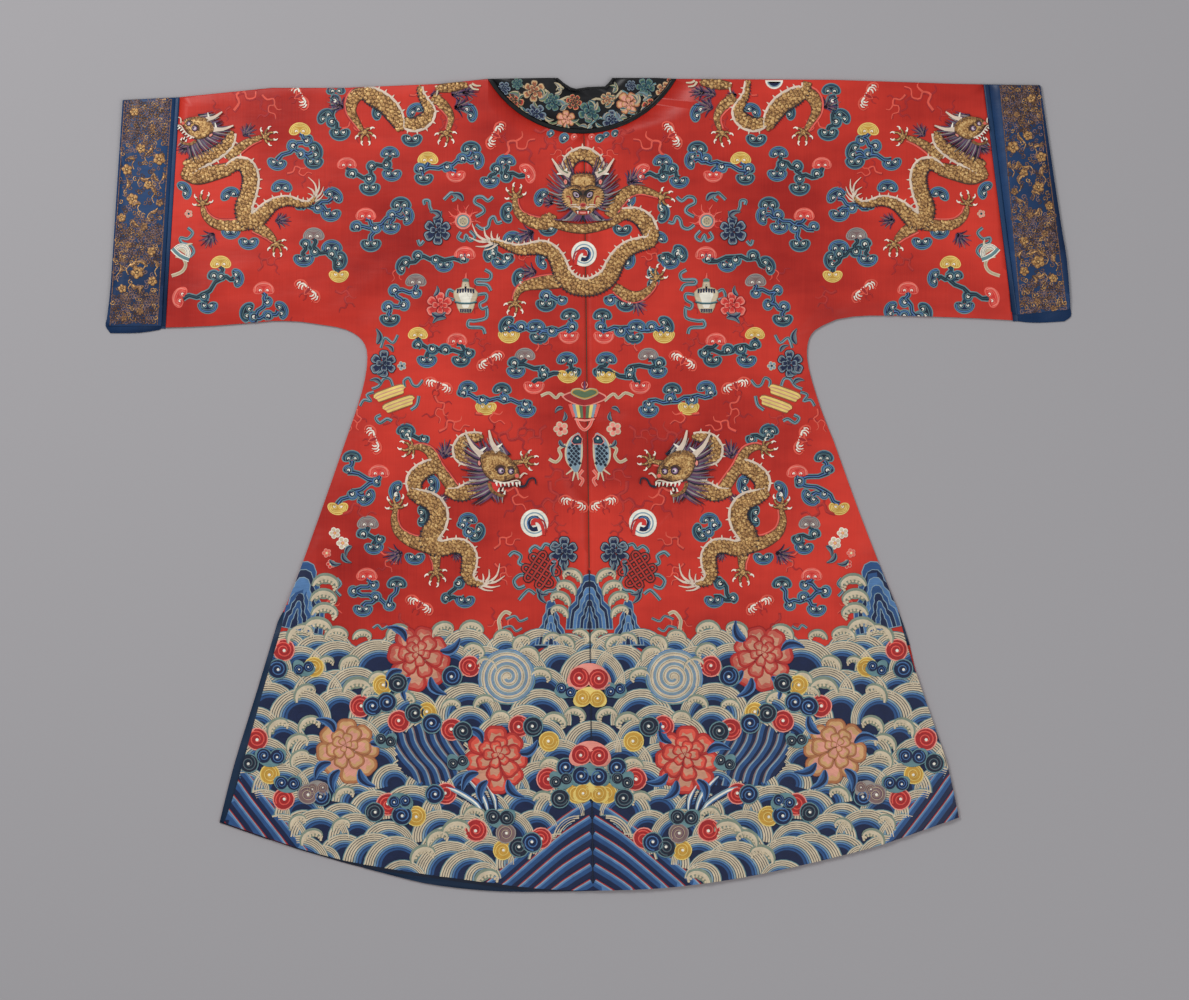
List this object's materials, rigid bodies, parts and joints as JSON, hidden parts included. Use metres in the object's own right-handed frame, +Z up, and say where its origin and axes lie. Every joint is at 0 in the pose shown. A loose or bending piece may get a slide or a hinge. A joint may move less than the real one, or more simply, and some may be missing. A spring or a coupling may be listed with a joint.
{
  "type": "dragon jacket",
  "caption": "Wide-sleeved silk dragon jacket laid flat with its back up, with cuffs, a round collar band, side vents and a sea-wave hem.",
  "frame": {"origin": "Middle of the jacket's rectangle in plan, on the surface that it lies on.", "axes": "+X to the right along the sleeves, +Y from the hem to the neck, +Z up from the surface, with the jacket's back up."},
  "size_m": [1.4001, 1.1799, 0.0058],
  "materials": {
    "satin_red": "red silk satin",
    "cuff_blue": "blue satin under gold couching",
    "binding_blue": "blue satin strip",
    "facing_blue": "dark blue plain silk",
    "collar_black": "black satin with floss embroidery",
    "binding_black": "black satin strip"
  },
  "bodies": {
    "root": {"panel_left": "satin_red", "panel_right": "satin_red", "cuff_left": "cuff_blue", "cuff_right": "cuff_blue", "cuff_binding_left": "binding_blue", "cuff_binding_right": "binding_blue", "collar": "collar_black", "collar_binding": "binding_black", "neck_binding": "binding_black", "facing_vent_left": "facing_blue", "facing_hem": "facing_blue", "facing_vent_right": "facing_blue"}
  },
  "joints": []
}
